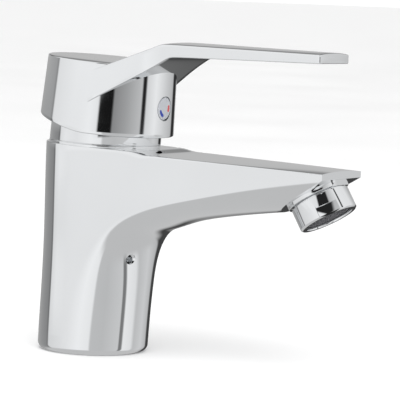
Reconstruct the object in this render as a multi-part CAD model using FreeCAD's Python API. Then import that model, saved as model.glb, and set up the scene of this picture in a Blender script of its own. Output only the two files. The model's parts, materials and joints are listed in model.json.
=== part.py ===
import FreeCAD, Part
import math
import os

from FreeCAD import Placement, Rotation, Vector

# Single-lever basin mixer. Millimetres, +Z up, spout towards -Y.
# The origin is the centre of the base, on the basin's surface.

# Body casting
BASE_R = 24.1
BASE_FILLET = 3.0
TOP_Z = 89.2
TOP_SLOPE = math.radians(1.74)
TIP_Y = -119.7
TIP_HALF_WIDTH = 17.0
TIP_EDGE = 2.6
FAN_Y = -45.0
FAN_Z = TOP_Z - 49.2
BACK_LEAN = 0.0155
SEAT_H = 1.0
SEAT_FRONT_Y = -29.0
SEAT_END_Y = -38.0
HOSE_RECESS_R = 17.5
HOSE_RECESS_H = 34.0
INLET_X = 7.0
INLET_Y = 3.5
INLET_R = 4.5
INLET_THREAD_LEN = 12.0
PASSAGE_R = 3.0
STUD_Y = -10.5
STUD_R = 3.4
STUD_DEPTH = 14.0
CHAIN_HOLE_Z = FAN_Z + 2.0
CHAIN_HOLE_ANGLE = 23.5
CHAIN_HOLE_R = 1.6
CHAIN_HOLE_DEPTH = 8.0
CHANNEL_R = 4.2
CHANNEL_FALL = (Vector(0, -10.0, TOP_Z - 32.7), Vector(0, TIP_Y + 12.7, TOP_Z - 9.7))
GASKET_R_IN = 18.4
GASKET_R_OUT = 20.2
GASKET_H = 1.6

# Cartridge axis, tilted towards the spout
NECK_Y = -2.7
TILT = 4.2
PIVOT_H = 9.0
LIFT_MAX = 25.0

# Cartridge and neck, heights measured along the cartridge axis
FLOOR_H = -23.4
HOUSING_R = 17.4
HOUSING_WALL = 2.4
HOUSING_TOP_H = 4.3
COLLAR_R = 21.2
COLLAR_TOP_H = 8.0
NUT_SEAT_R = 19.4
NUT_TOP_H = 9.6
RING_R = 24.3
RING_TOP_H = 13.2
RING_WALL = 2.9
RING_MOUTH_R = 15.0
BASE_PLATE_H = 4.0
DISC_H = 3.5
FIXED_DISC_R = HOUSING_R - HOUSING_WALL - 1.4
MOVING_DISC_R = HOUSING_R - HOUSING_WALL - 5.5
CARRIER_WIDTH = 2 * MOVING_DISC_R - 3.4
CARRIER_H = 8.5
NECK_R = 10.5
GUIDE_FLANGE_R = HOUSING_R - HOUSING_WALL - 0.4
GUIDE_TOP_H = 12.4
PORT_R = 3.0
PORT_X = 7.0 * FIXED_DISC_R / 13.6
PORT_V = 4.0
OUTLET_V = 5.6 - FIXED_DISC_R
PIN_R = 1.5
PIN_LEN = 19.0
SPINDLE_W = 7.2
SPINDLE_TOP_H = 30.0
BALL_R = 2.4
BALL_ARM = 12.0

# Lever cap and blade
CAP_R = 29.0
CAP_R_AT_H = 15.0
CAP_TAPER = 0.042
CAP_TOP_H = 37.9
CAP_WALL = 2.5
CAP_ROOF = 3.0
RIM_FRONT_H = 7.3
RIM_SLOPE = 10.0
RIM_BEND_R = 45.0
BOSS_R = 9.5
BOSS_BOTTOM_H = 18.0
SLEEVE_WALL = 0.9
BLADE_TIP_Y = TIP_Y + 5.5
BLADE_TIP_HALF_WIDTH = 12.4
BLADE_TOP_Z = TOP_Z + 46.7
BLADE_TIP_TOP_Z = TOP_Z + 45.0
BLADE_UNDER_Z = TOP_Z + 40.7
BUTTON_H = 20.0
BUTTON_R = 5.0
BUTTON_T = 2.4
MARK_T = 0.5
COLD_MARK_ARC = (190.0, 262.0)
HOT_MARK_ARC = (-26.0, 28.0)

# Outlet, distances measured along its axis from the spout's under face
OUTLET_Y = TIP_Y + 11.18
OUTLET_Z = TOP_Z + TIP_Y * math.tan(TOP_SLOPE) - 9.314
OUTLET_TILT = 31.0
LAND_R = 13.5
LAND_T = 2.0
NIPPLE_R = 11.0
NIPPLE_BORE = 8.7
NIPPLE_T = 8.0
AERATOR_R = 12.6
AERATOR_TOP_T = 2.7
AERATOR_END_T = 12.2
AERATOR_LIP_R = 10.2
AERATOR_FLAT_TURN = 34.0

# Clearances
FIT = 0.05
GAP = 0.1
SLIP = 0.15

UP = Vector(0, 0, 1)
ZERO = Vector(0, 0, 0)


def neck_place():
    """Placement of the cartridge axis: local X, V (back) and H (up)."""
    return Placement(Vector(0, NECK_Y, TOP_Z), Rotation(Vector(1, 0, 0), TILT))


def outlet_place():
    """Placement of the outlet: local Z runs out of the spout."""
    return Placement(Vector(0, OUTLET_Y, OUTLET_Z), Rotation(Vector(1, 0, 0), 180 - OUTLET_TILT))


def at_neck(shape):
    shape.Placement = neck_place().multiply(shape.Placement)
    return shape


def at_outlet(shape):
    shape.Placement = outlet_place().multiply(shape.Placement)
    return shape


def rod(r, low, high, x=0.0, y=0.0):
    return Part.makeCylinder(r, high - low, Vector(x, y, low), UP)


def ring(r_in, r_out, low, high, x=0.0, y=0.0):
    return rod(r_out, low, high, x, y).cut(rod(r_in, low - 1, high + 1, x, y))


def block(x0, x1, y0, y1, z0, z1):
    return Part.makeBox(x1 - x0, y1 - y0, z1 - z0, Vector(x0, y0, z0))


def torus(major, minor, h, x=0.0, y=0.0):
    return Part.makeTorus(major, minor, Vector(x, y, h), UP)


def wall_half_width(y):
    """Half-width of the body's upright walls, seen from above."""
    if y >= 0:
        return math.sqrt(max(BASE_R ** 2 - y ** 2, 0.0))
    return BASE_R + (BASE_R - TIP_HALF_WIDTH) * y / -TIP_Y


def smooth_curve(points):
    """Edge through the points."""
    curve = Part.BSplineCurve()
    curve.interpolate(points)
    return curve.toShape()


def body_section(centre, belly, back, shoulder):
    """Closed section: U-shaped belly, straight walls and a rounded back.

    centre is the widest point's middle, belly the lowest point of the U,
    back the outermost point and shoulder where the walls end.
    """
    count = 12
    half = wall_half_width(min(centre.y, 0.0))
    inner = []
    for i in range(count + 1):
        a = math.pi * i / count
        inner.append(centre + (belly - centre) * math.sin(a) + Vector(half * math.cos(a), 0, 0))
    top_half = wall_half_width(min(shoulder.y, 0.0))
    outer = []
    for i in range(count + 1):
        a = math.pi * i / count
        outer.append(shoulder + (back - shoulder) * math.sin(a) + Vector(-top_half * math.cos(a), 0, 0))
    edges = [
        smooth_curve(inner),
        Part.makeLine(inner[-1], outer[0]),
        smooth_curve(outer),
        Part.makeLine(outer[-1], inner[0]),
    ]
    return Part.Wire(edges)


def body_blank():
    """Outside of the casting: a round column that bends into the spout."""
    sections = []
    column = [(0.0, -24.1, 0.4), (8.0, -24.5, 0.0), (16.0, -25.2, -1.0),
              (24.0, -25.8, -3.0), (33.0, -26.3, -5.0)]
    for height, front, middle in column:
        z = height * FAN_Z / 40.0
        shoulder = Vector(0, 0.6, z)
        back = Vector(0, BASE_R - BACK_LEAN * z, z)
        sections.append(body_section(Vector(0, middle, z), Vector(0, front, z), back, shoulder))
    fan = [(0, 17.9, 38.0), (14, 17.3, 36.5), (28, 16.3, 33.0), (41, 15.8, 30.0),
           (55, 15.4, 28.0), (70, 15.8, 26.5), (90, 17.6, 26.0)]
    for angle, belly_q, centre_q in fan:
        a = math.radians(angle)
        along = Vector(0, math.cos(a), math.sin(a))
        pivot = Vector(0, FAN_Y, FAN_Z)
        b = math.radians(min(angle, 50))
        shoulder_q = (0.6 - FAN_Y) / math.cos(b)
        back_q = (BASE_R - BACK_LEAN * FAN_Z - FAN_Y) / (math.cos(b) + BACK_LEAN * math.sin(b))
        sections.append(body_section(pivot + along * centre_q, pivot + along * belly_q,
                                     pivot + along * back_q, pivot + along * shoulder_q))
    tip_middle = TIP_Y * math.tan(TOP_SLOPE) - TIP_EDGE
    spout = [(0.5013, -27.2, -18.6), (0.6266, -24.5, -14.6), (0.7519, -22.6, -11.2),
             (0.8772, -20.6, -8.6), (1.0, -18.2, tip_middle)]
    for share, low, middle in spout:
        y = TIP_Y * share
        centre = Vector(0, y, TOP_Z + middle)
        back = Vector(0, y, TOP_Z + 57.8)
        sections.append(body_section(centre, Vector(0, y, TOP_Z + low), back, Vector(0, y, TOP_Z + 17.8)))
    return Part.makeLoft(sections, True, False)


def top_point(y, lift):
    return Vector(0, y, TOP_Z + y * math.tan(TOP_SLOPE) + lift)


def above_top():
    """Everything above the body's top face: it slopes and is raised in a curve round the neck."""
    half_way = (SEAT_FRONT_Y + SEAT_END_Y) / 2
    fall = [top_point(SEAT_FRONT_Y, SEAT_H), top_point(half_way + 2, 0.86 * SEAT_H),
            top_point(half_way - 2, 0.14 * SEAT_H), top_point(SEAT_END_Y, 0)]
    back = top_point(80, SEAT_H)
    far = top_point(TIP_Y - 60, 0)
    corner_a = Vector(0, far.y, TOP_Z + 120)
    corner_b = Vector(0, 80, TOP_Z + 120)
    edges = [
        Part.makeLine(back, fall[0]),
        smooth_curve(fall),
        Part.makeLine(fall[-1], far),
        Part.makeLine(far, corner_a),
        Part.makeLine(corner_a, corner_b),
        Part.makeLine(corner_b, back),
    ]
    face = Part.Face(Part.Wire(edges))
    face.translate(Vector(-80, 0, 0))
    return face.extrude(Vector(160, 0, 0))


def below_tip():
    """Everything under the slanting face that carries the outlet."""
    return at_outlet(block(-60, 60, -60, 60, 0, 60))


def cartridge_ports():
    return [(-PORT_X, PORT_V), (PORT_X, PORT_V), (0.0, OUTLET_V)]


def faucet_body():
    body = body_blank().cut(above_top()).cut(below_tip())
    foot = Part.makeCylinder(60, BASE_FILLET, ZERO, UP)
    foot = foot.cut(Part.makeCylinder(BASE_R - BASE_FILLET, BASE_FILLET, ZERO, UP))
    bead = Part.makeTorus(BASE_R - BASE_FILLET, BASE_FILLET, Vector(0, 0, BASE_FILLET), UP)
    body = body.cut(foot.cut(bead))
    body = body.fuse(at_neck(rod(COLLAR_R, -4, COLLAR_TOP_H)))
    land = at_outlet(rod(LAND_R, -0.3, LAND_T))
    body = body.fuse(land.cut(block(-30, 30, TIP_Y - 30, TIP_Y, 0, TOP_Z)))
    body = body.fuse(at_outlet(rod(NIPPLE_R, -3, NIPPLE_T)))
    cuts = [
        at_neck(rod(HOUSING_R + GAP, FLOOR_H, 20)),
        at_neck(rod(NUT_SEAT_R + GAP, HOUSING_TOP_H - 2, 20)),
        at_neck(torus(COLLAR_R - 0.3, 0.9, 5.0)),
        at_outlet(rod(NIPPLE_BORE, -2.5, NIPPLE_T + 5)),
        rod(HOSE_RECESS_R, -5, HOSE_RECESS_H),
        ring(GASKET_R_IN - GAP, GASKET_R_OUT + GAP, -1, GASKET_H),
        rod(STUD_R, HOSE_RECESS_H - 1, HOSE_RECESS_H + STUD_DEPTH, 0, STUD_Y),
    ]
    for side in (-1, 1):
        x = side * INLET_X
        cuts.append(rod(INLET_R, HOSE_RECESS_H - 1, HOSE_RECESS_H + INLET_THREAD_LEN, x, INLET_Y))
        cuts.append(rod(PASSAGE_R, HOSE_RECESS_H, TOP_Z + FLOOR_H + 3, x, INLET_Y))
    start, end = CHANNEL_FALL
    run = end - start
    cuts.append(Part.makeCylinder(CHANNEL_R, run.Length, start, run))
    cuts.append(Part.makeSphere(CHANNEL_R, start))
    cuts.append(rod(PORT_R, start.z, TOP_Z + FLOOR_H + 3, 0, NECK_Y + OUTLET_V + 1.5))
    a = math.radians(CHAIN_HOLE_ANGLE)
    inward = Vector(math.sin(a), math.cos(a), 0)
    mouth = Vector(-30 * math.sin(a), -30 * math.cos(a), CHAIN_HOLE_Z)
    cuts.append(Part.makeCylinder(CHAIN_HOLE_R, CHAIN_HOLE_DEPTH + 3.0, mouth, inward))
    for tool in cuts:
        body = body.cut(tool)
    return body


def base_gasket():
    return ring(GASKET_R_IN, GASKET_R_OUT, 0, GASKET_H)


def cover_ring():
    shell = Part.makeCone(RING_R, RING_R - 0.4, RING_TOP_H + 1.0, Vector(0, 0, -1.0), UP)
    shell = shell.cut(body_under_ring())
    shell = shell.cut(rod(COLLAR_R + GAP, -5, RING_TOP_H - 1.8))
    return at_neck(shell.cut(rod(RING_MOUTH_R, -5, RING_TOP_H + 5)))


def body_under_ring():
    """The part of the neck's local space that the body fills up to its raised seat."""
    slab = block(-60, 60, -60, 60, -40, 0)
    slab.Placement = Placement(ZERO, Rotation(Vector(1, 0, 0), math.degrees(TOP_SLOPE) - TILT))
    lift = SEAT_H + NECK_Y * math.tan(TOP_SLOPE)
    lift *= math.cos(TOP_SLOPE) / math.cos(math.radians(TILT) - TOP_SLOPE)
    slab.translate(Vector(0, 0, lift))
    return slab


def neck_o_ring():
    return at_neck(torus(COLLAR_R - 0.3, 0.38, 5.0))


def cartridge_housing():
    shell = rod(HOUSING_R, FLOOR_H + GAP + BASE_PLATE_H, HOUSING_TOP_H - 1)
    shell = shell.fuse(rod(14.0, HOUSING_TOP_H - 1, 7.8))
    shell = shell.cut(rod(HOUSING_R - HOUSING_WALL, FLOOR_H, 2.3))
    shell = shell.cut(rod(NECK_R + 0.4, 2, 10))
    return at_neck(shell.cut(rod(NECK_R + 1.6, 4.2, 6.2)))


def guide_o_ring():
    return at_neck(ring(NECK_R + 0.3, NECK_R + 1.5, 4.3, 6.1))


def cartridge_base():
    low = FLOOR_H + GAP
    plate = rod(HOUSING_R, low, low + BASE_PLATE_H)
    for x, v in cartridge_ports():
        plate = plate.cut(rod(PORT_R, low - 1, low + BASE_PLATE_H + 1, x, v))
        plate = plate.cut(rod(PORT_R + 1.4, low - 1, low + 1.2, x, v))
    return at_neck(plate)


def port_seal(x, v):
    low = FLOOR_H + GAP
    return at_neck(ring(PORT_R, PORT_R + 1.3, low - 0.05, low + 1.1, x, v))


def fixed_ceramic_disc():
    low = FLOOR_H + GAP + BASE_PLATE_H
    disc = rod(FIXED_DISC_R, low, low + DISC_H)
    for x, v in cartridge_ports():
        disc = disc.cut(rod(PORT_R, low - 1, low + DISC_H + 1, x, v))
    return at_neck(disc)


def moving_ceramic_disc():
    low = FLOOR_H + GAP + BASE_PLATE_H + DISC_H + FIT
    disc = rod(MOVING_DISC_R, low, low + DISC_H)
    return at_neck(disc.cut(rod(PORT_R + 1.5, low - 1, low + 1.8, 0, -1)))


def carrier_bottom():
    return FLOOR_H + GAP + BASE_PLATE_H + 2 * DISC_H + FIT


def disc_carrier():
    low = carrier_bottom()
    plate = rod(MOVING_DISC_R, low, low + CARRIER_H)
    half = CARRIER_WIDTH / 2
    plate = plate.common(block(-half, half, -20, 20, low - 1, low + CARRIER_H + 1))
    return at_neck(plate.cut(rod(BALL_R + SLIP, PIVOT_H - BALL_ARM - BALL_R - 1, low + CARRIER_H + 1)))


def rotary_guide():
    guide = rod(GUIDE_FLANGE_R, -1, 2.0).fuse(rod(NECK_R, 0, GUIDE_TOP_H))
    half = CARRIER_WIDTH / 2 + SLIP
    for side in (-1, 1):
        rail = block(half, half + 3, -8, 8, carrier_bottom() + 0.5, 0)
        if side < 0:
            rail = rail.mirror(ZERO, Vector(1, 0, 0))
        guide = guide.fuse(rail)
    slot = SPINDLE_W / 2 + 0.2
    guide = guide.cut(block(-slot, slot, -8.2, 8.2, -2, GUIDE_TOP_H + 1))
    pin_hole = Part.makeCylinder(PIN_R, PIN_LEN + 0.4, Vector(-PIN_LEN / 2 - 0.2, 0, PIVOT_H), Vector(1, 0, 0))
    return at_neck(guide.cut(pin_hole))


def pivot_pin():
    return at_neck(Part.makeCylinder(PIN_R - 0.02, PIN_LEN, Vector(-PIN_LEN / 2, 0, PIVOT_H), Vector(1, 0, 0)))


def temperature_stop_ring():
    return at_neck(ring(NECK_R + 0.5, 13.8, 7.8 + FIT, 9.4))


def retaining_nut():
    low = HOUSING_TOP_H - 1
    nut = ring(14.2, NUT_SEAT_R, low, NUT_TOP_H)
    for i in range(6):
        a = math.radians(60 * i)
        nut = nut.cut(rod(1.3, NUT_TOP_H - 2, NUT_TOP_H + 1, 17.0 * math.cos(a), 17.0 * math.sin(a)))
    return at_neck(nut)


def spindle():
    half = SPINDLE_W / 2
    bar = block(-half, half, -half, half, PIVOT_H - 4.5, SPINDLE_TOP_H)
    bar = bar.fuse(rod(1.8, PIVOT_H - BALL_ARM, PIVOT_H - 4))
    bar = bar.fuse(Part.makeSphere(BALL_R, Vector(0, 0, PIVOT_H - BALL_ARM)))
    hole = Part.makeCylinder(PIN_R + 0.03, 20, Vector(-10, 0, PIVOT_H), Vector(1, 0, 0))
    return at_neck(bar.cut(hole))


def spindle_sleeve():
    inner = SPINDLE_W / 2 + FIT
    outer = inner + SLEEVE_WALL
    sleeve = block(-outer, outer, -outer, outer, BOSS_BOTTOM_H + 1, SPINDLE_TOP_H)
    sleeve = sleeve.cut(block(-inner, inner, -inner, inner, 0, SPINDLE_TOP_H + 1))
    slot = Part.makeCylinder(2.7, 20, Vector(0, 0, BUTTON_H), Vector(0, -1, 0))
    return at_neck(sleeve.cut(slot))


def cap_radius(h):
    return CAP_R - CAP_TAPER * (h - CAP_R_AT_H)


def below_rim():
    """The space under the cap's rim, which rises in a curve to the back."""
    slope = math.radians(RIM_SLOPE)
    bend = Vector(0, -8.0, RIM_FRONT_H)
    hub = bend + Vector(0, 0, RIM_BEND_R)
    mid = hub + Vector(0, math.sin(slope / 2), -math.cos(slope / 2)) * RIM_BEND_R
    leave = hub + Vector(0, math.sin(slope), -math.cos(slope)) * RIM_BEND_R
    far = leave + Vector(0, math.cos(slope), math.sin(slope)) * 60
    front = Vector(0, -70, RIM_FRONT_H)
    corner_a = Vector(0, far.y, -60)
    corner_b = Vector(0, -70, -60)
    edges = [
        Part.makeLine(front, bend),
        Part.Arc(bend, mid, leave).toShape(),
        Part.makeLine(leave, far),
        Part.makeLine(far, corner_a),
        Part.makeLine(corner_a, corner_b),
        Part.makeLine(corner_b, front),
    ]
    face = Part.Face(Part.Wire(edges))
    face.translate(Vector(-70, 0, 0))
    return face.extrude(Vector(140, 0, 0))


def blade_profile():
    """Side view of the riser and blade, extruded across."""
    points = [
        Vector(0, -10.0, TOP_Z + 31.8),
        Vector(0, -10.0, TOP_Z + 36.7),
        Vector(0, -19.7, TOP_Z + 36.7),
        Vector(0, -40.0, BLADE_TOP_Z - 1.2),
        Vector(0, -44.5, BLADE_TOP_Z),
        Vector(0, BLADE_TIP_Y, BLADE_TIP_TOP_Z),
        Vector(0, BLADE_TIP_Y, BLADE_UNDER_Z + 0.2),
        Vector(0, -48.0, BLADE_UNDER_Z),
        Vector(0, -44.0, BLADE_UNDER_Z - 1.3),
        Vector(0, -22.0, TOP_Z + 26.1),
    ]
    face = Part.Face(Part.makePolygon(points + points[:1]))
    face.translate(Vector(-60, 0, 0))
    return face.extrude(Vector(120, 0, 0))


def blade_plan():
    """Top view of the riser and blade, extruded up."""
    side = [Vector(27.1, -14.0, 0), Vector(23.8, -22.0, 0), Vector(22.1, -26.0, 0),
            Vector(19.7, -33.0, 0), Vector(18.2, -41.0, 0)]
    other = [Vector(-p.x, p.y, 0) for p in side]
    tip = Vector(BLADE_TIP_HALF_WIDTH, BLADE_TIP_Y, 0)
    tip_other = Vector(-tip.x, tip.y, 0)
    back = Vector(26.0, 5.0, 0)
    back_other = Vector(-26.0, 5.0, 0)
    edges = [
        smooth_curve(side),
        Part.makeLine(side[-1], tip),
        Part.makeLine(tip, tip_other),
        Part.makeLine(tip_other, other[-1]),
        smooth_curve(other),
        Part.makeLine(other[0], back_other),
        Part.makeLine(back_other, back),
        Part.makeLine(back, side[0]),
    ]
    face = Part.Face(Part.Wire(Part.__sortEdges__(edges)))
    return face.extrude(Vector(0, 0, TOP_Z + 110))


def button_axis(length, r, start_v):
    return Part.makeCylinder(r, length, Vector(0, start_v, BUTTON_H), Vector(0, -1, 0))


def handle():
    foot = -2.0
    cap = Part.makeCone(cap_radius(foot), cap_radius(CAP_TOP_H), CAP_TOP_H - foot, Vector(0, 0, foot), UP)
    cap = cap.cut(below_rim())
    roof = CAP_TOP_H - CAP_ROOF
    hollow = Part.makeCone(cap_radius(foot) - CAP_WALL, cap_radius(roof) - CAP_WALL, roof - foot,
                           Vector(0, 0, foot), UP)
    boss = rod(BOSS_R, BOSS_BOTTOM_H, CAP_TOP_H - 1)
    rib = block(-5.5, 5.5, -cap_radius(BUTTON_H) + 1, 0, BUTTON_H - 4.5, CAP_TOP_H - 1)
    blade = blade_profile().common(blade_plan())
    cap = at_neck(cap).fuse(blade)
    cap = cap.cut(at_neck(hollow)).fuse(at_neck(boss)).fuse(at_neck(rib))
    pocket = SPINDLE_W / 2 + FIT + SLEEVE_WALL + FIT
    cap = cap.cut(at_neck(block(-pocket, pocket, -pocket, pocket, 0, SPINDLE_TOP_H + 0.5)))
    cap = cap.cut(at_neck(button_axis(60, 2.5, 0)))
    return cap.cut(at_neck(button_axis(60, BUTTON_R + FIT, -cap_radius(BUTTON_H) + BUTTON_T)))


def grub_screw():
    screw = button_axis(10.0, 2.46, -SPINDLE_W / 2 - FIT)
    socket = button_axis(3.0, 1.3, -SPINDLE_W / 2 - 7.2)
    return at_neck(screw.cut(socket))


def button_face():
    return -cap_radius(BUTTON_H) + 0.15


def indicator_plug():
    plug = button_axis(BUTTON_T - 0.3, BUTTON_R, button_face() + BUTTON_T - 0.3)
    return at_neck(plug.cut(mark_arc(COLD_MARK_ARC)).cut(mark_arc(HOT_MARK_ARC)))


def mark_arc(arc):
    """A short raised arc on the button's face, between two angles from +X."""
    sweep = arc[1] - arc[0]
    start_v = button_face() + MARK_T
    outer = Part.makeCylinder(3.75, MARK_T, ZERO, UP, sweep)
    inner = Part.makeCylinder(2.5, MARK_T + 2, Vector(0, 0, -1), UP)
    mark = outer.cut(inner)
    mark.rotate(ZERO, UP, arc[0])
    mark.rotate(ZERO, Vector(1, 0, 0), 90)
    mark.translate(Vector(0, start_v, BUTTON_H))
    return mark


def colour_mark(arc):
    return at_neck(mark_arc(arc))


def outlet_tube(r_in, r_out, low, high):
    return at_outlet(ring(r_in, r_out, low, high))


def aerator_collar():
    collar = rod(AERATOR_R, AERATOR_TOP_T, AERATOR_END_T)
    collar = collar.cut(rod(NIPPLE_R + FIT, AERATOR_TOP_T - 1, 10.2))
    collar = collar.cut(rod(AERATOR_LIP_R, 0, AERATOR_END_T + 1))
    for side in (-1, 1):
        flat = block(AERATOR_R - 0.85, AERATOR_R + 1, -6, 6, AERATOR_END_T - 4.6, AERATOR_END_T + 1)
        if side < 0:
            flat = flat.mirror(ZERO, Vector(1, 0, 0))
        flat.rotate(ZERO, UP, -AERATOR_FLAT_TURN)
        collar = collar.cut(flat)
    return at_outlet(collar)


def aerator_washer():
    return outlet_tube(8.4, NIPPLE_R - GAP, NIPPLE_T, NIPPLE_T + 1.0)


def aerator_basket():
    basket = ring(7.2, 8.3, 1.0, 9.0 + GAP)
    return at_outlet(basket.fuse(ring(7.2, 10.8, 9.0, 10.1)))


def aerator_screen():
    return at_outlet(rod(8.3, 0.4, 1.0))


def stream_former():
    grid = rod(9.6, 10.1, 11.0)
    for count, radius in ((6, 3.2), (12, 6.2)):
        for i in range(count):
            a = 2 * math.pi * i / count
            grid = grid.cut(rod(0.9, 9, 12, radius * math.cos(a), radius * math.sin(a)))
    return at_outlet(grid)


def main():
    os.makedirs("parts", exist_ok=True)
    parts = {
        "faucet_body": faucet_body(),
        "base_gasket": base_gasket(),
        "cover_ring": cover_ring(),
        "neck_o_ring": neck_o_ring(),
        "retaining_nut": retaining_nut(),
        "cartridge_housing": cartridge_housing(),
        "guide_o_ring": guide_o_ring(),
        "temperature_stop_ring": temperature_stop_ring(),
        "cartridge_base": cartridge_base(),
        "cold_inlet_seal": port_seal(PORT_X, PORT_V),
        "hot_inlet_seal": port_seal(-PORT_X, PORT_V),
        "outlet_seal": port_seal(0.0, OUTLET_V),
        "fixed_ceramic_disc": fixed_ceramic_disc(),
        "moving_ceramic_disc": moving_ceramic_disc(),
        "disc_carrier": disc_carrier(),
        "rotary_guide": rotary_guide(),
        "pivot_pin": pivot_pin(),
        "spindle": spindle(),
        "spindle_sleeve": spindle_sleeve(),
        "handle": handle(),
        "grub_screw": grub_screw(),
        "indicator_plug": indicator_plug(),
        "cold_mark": colour_mark(COLD_MARK_ARC),
        "hot_mark": colour_mark(HOT_MARK_ARC),
        "aerator_collar": aerator_collar(),
        "aerator_washer": aerator_washer(),
        "aerator_basket": aerator_basket(),
        "aerator_screen": aerator_screen(),
        "stream_former": stream_former(),
    }
    for name, shape in parts.items():
        shape.exportStep("parts/" + name + ".step")


main()
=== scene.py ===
"""Single-lever basin mixer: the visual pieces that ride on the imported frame."""

import json
import math

import bmesh
import bpy
from bpy.props import FloatProperty, FloatVectorProperty, IntProperty, PointerProperty
from bpy.types import Operator, Panel, PropertyGroup
from mathutils import Matrix, Vector


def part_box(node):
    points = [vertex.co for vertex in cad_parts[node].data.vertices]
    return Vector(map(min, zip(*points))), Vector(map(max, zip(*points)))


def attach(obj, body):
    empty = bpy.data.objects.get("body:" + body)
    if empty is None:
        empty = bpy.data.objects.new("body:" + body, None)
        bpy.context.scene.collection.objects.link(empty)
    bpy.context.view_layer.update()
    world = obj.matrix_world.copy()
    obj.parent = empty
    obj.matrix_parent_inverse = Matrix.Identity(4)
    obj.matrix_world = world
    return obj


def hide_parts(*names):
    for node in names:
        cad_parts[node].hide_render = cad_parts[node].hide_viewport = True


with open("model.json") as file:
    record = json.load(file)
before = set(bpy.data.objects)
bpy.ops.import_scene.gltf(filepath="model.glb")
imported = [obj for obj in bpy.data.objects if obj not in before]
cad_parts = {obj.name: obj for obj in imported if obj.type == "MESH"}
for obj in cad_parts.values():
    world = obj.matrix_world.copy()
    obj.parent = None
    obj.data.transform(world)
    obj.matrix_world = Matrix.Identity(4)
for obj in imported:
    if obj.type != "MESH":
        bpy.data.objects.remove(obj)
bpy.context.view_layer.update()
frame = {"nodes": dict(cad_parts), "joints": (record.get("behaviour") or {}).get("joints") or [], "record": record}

bl_info = {
    "name": "Basin Mixer",
    "version": (1, 0, 0),
    "blender": (4, 5, 0),
    "location": "View3D > Sidebar > Mixer",
    "description": "Builds the chrome skin, lever, outlet and finishes of a single-lever basin mixer",
    "category": "Object",
}

MM = 0.001


def joint(name):
    """The frame's joint of that name."""
    return next(j for j in frame["joints"] if j["name"] == name)


NECK_AXIS = Vector(joint("temperature")["axis"]).normalized()
NECK_POINT = Vector(joint("temperature")["pos_m"])
BODY_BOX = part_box("faucet_body")

# Where the outlet's axis leaves the spout's slanting under face
OUTLET_CENTRE = Vector((0, -0.10852, 0.07625))


# Sizes and colours ---------------------------------------------------------


def length(name, description, metres):
    return FloatProperty(name=name, description=description, default=metres, unit="LENGTH")


def angle(name, description, degrees):
    return FloatProperty(name=name, description=description, default=math.radians(degrees),
                         subtype="ANGLE", unit="ROTATION")


def tone(name, description, rgb):
    return FloatVectorProperty(name=name, description=description, default=rgb, subtype="COLOR", min=0, max=1)


class MixerBodySizes(PropertyGroup):
    """Sizes of the cast body."""

    base_radius: length("Base radius", "Radius of the round foot", BODY_BOX[1][0])
    foot_fillet: length("Foot fillet", "Rounding at the foot's edge", 0.003)
    waist: length("Waist", "How much slimmer the column is half way up", 0.0006)
    top_height: length("Top height", "Height of the top face over the column", NECK_POINT[2])
    top_slope: angle("Top slope", "Fall of the top face towards the spout's tip", 1.74)
    back_lean: FloatProperty(name="Back lean", description="Slope of the column's back", default=0.0155)
    seat: length("Seat height", "How far the top is raised round the neck", 0.001)
    tip_y: length("Tip", "Where the spout ends", -0.1197)
    tip_half_width: length("Tip half-width", "Half the width of the tip", 0.017)
    hose_recess: length("Hose recess radius", "Radius of the hollow in the foot", 0.0175)
    recess_depth: length("Hose recess depth", "Depth of the hollow in the foot", 0.034)


class MixerLeverSizes(PropertyGroup):
    """Sizes of the lever cap and its blade, heights along the cartridge axis."""

    cap_radius: length("Cap radius", "Cap radius at its widest height", 0.0290)
    cap_taper: FloatProperty(name="Cap taper", description="Loss of radius for each unit of height",
                             default=0.042)
    cap_top: length("Cap top", "Height of the flat top over the body", 0.0378)
    cap_wall: length("Cap wall", "Thickness of the cap's skirt", 0.0025)
    rim_front: length("Rim height", "Height of the rim at the front", 0.0073)
    rim_slope: angle("Rim rise", "Slope of the rim towards the back", 10.0)
    blade_tip_y: length("Blade tip", "Where the blade ends", -0.1142)
    blade_tip_half: length("Blade tip half-width", "Half the width of the tip", 0.0124)
    crown: length("Blade crown", "How far the blade's middle stands above its edges", 0.0008)
    button_radius: length("Button radius", "Radius of the temperature button", 0.005)
    button_height: length("Button height", "Height of the button over the body", 0.020)


class MixerOutletSizes(PropertyGroup):
    """Sizes of the outlet, distances along its own axis."""

    tilt: angle("Outlet tilt", "Forward tilt of the stream", 31.0)
    land_radius: length("Land radius", "Radius of the boss above the collar", 0.0135)
    collar_radius: length("Collar radius", "Outer radius of the aerator collar", 0.0126)
    collar_end: length("Collar end", "Distance of the collar's rim from the spout", 0.0122)
    flat_turn: angle("Flat turn", "How far the wrench flats are turned to the front", 34.0)
    rib_count: IntProperty(name="Grid ribs", description="Radial ribs in the outlet grid",
                           default=24, min=6)


class MixerFinish(PropertyGroup):
    """Colours of the finishes."""

    chrome: tone("Chrome", "Colour of the plated metal", (0.80, 0.81, 0.82))
    button: tone("Button", "Colour of the button", (0.62, 0.64, 0.68))
    cold: tone("Cold mark", "Colour of the cold mark", (0.01, 0.05, 0.45))
    hot: tone("Hot mark", "Colour of the hot mark", (0.75, 0.10, 0.10))
    moulding: tone("Moulding", "Colour of the cartridge's plastic", (0.80, 0.80, 0.77))


class MixerStageSettings(PropertyGroup):
    """Camera and studio."""

    azimuth: angle("Azimuth", "Side that the camera stands on", -58.9)
    elevation: angle("Elevation", "Height of the camera above the horizon", 4.68)
    roll: angle("Roll", "Turn of the camera about its own axis", 2.19)
    distance: length("Distance", "Camera's distance from its target", 1.065)
    lens: FloatProperty(name="Lens", description="Focal length in millimetres", default=225.07)
    target: FloatVectorProperty(name="Target", description="Point that the camera looks at",
                                default=(0.0, -0.0521, 0.06926), subtype="TRANSLATION", unit="LENGTH")


# Mesh helpers --------------------------------------------------------------


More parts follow.
